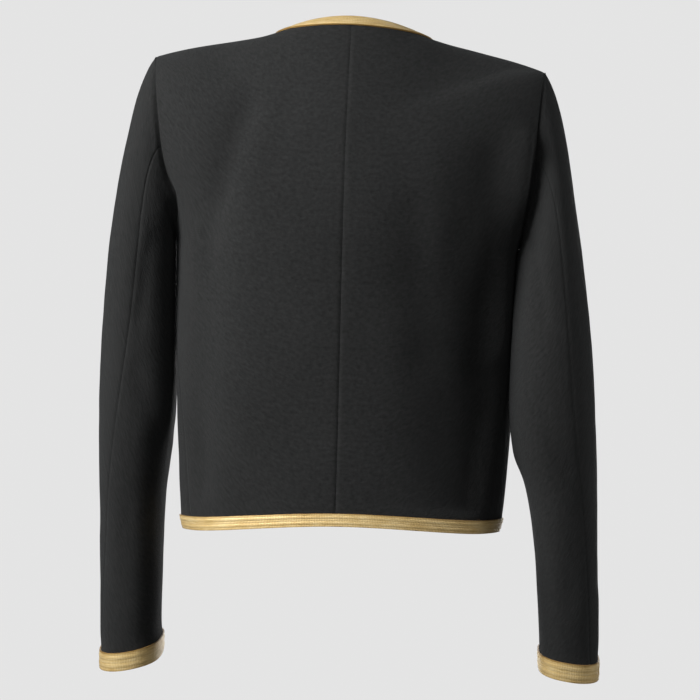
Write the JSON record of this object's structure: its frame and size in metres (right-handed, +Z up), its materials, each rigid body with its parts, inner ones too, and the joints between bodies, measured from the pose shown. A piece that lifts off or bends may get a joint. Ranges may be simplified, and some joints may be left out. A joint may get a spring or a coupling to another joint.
{
  "type": "cropped collarless jacket",
  "caption": "Hollow cropped collarless jacket as worn: two-piece hanging sleeves, straight hem, ridged braid along neck, fronts, hem and cuffs.",
  "frame": {"origin": "middle of the shoulder line, where the wearer's shoulders carry the jacket", "axes": "+Z up, +Y out of the back, +X towards the wearer's left sleeve"},
  "size_m": [0.5121, 0.2493, 0.6592],
  "materials": {
    "wool": "matt black wool crepe with a fine pebbled weave",
    "gold_braid": "metallic gold yarn braid in soft ridges, satin sheen"
  },
  "bodies": {
    "root": {"back_left": "wool", "back_right": "wool", "front_left": "wool", "front_right": "wool", "upper_sleeve_left": "wool", "upper_sleeve_right": "wool", "under_sleeve_left": "wool", "under_sleeve_right": "wool", "braid_neck": "gold_braid", "braid_hem": "gold_braid", "braid_front_left": "gold_braid", "braid_front_right": "gold_braid", "braid_cuff_left": "gold_braid", "braid_cuff_right": "gold_braid"}
  },
  "joints": []
}
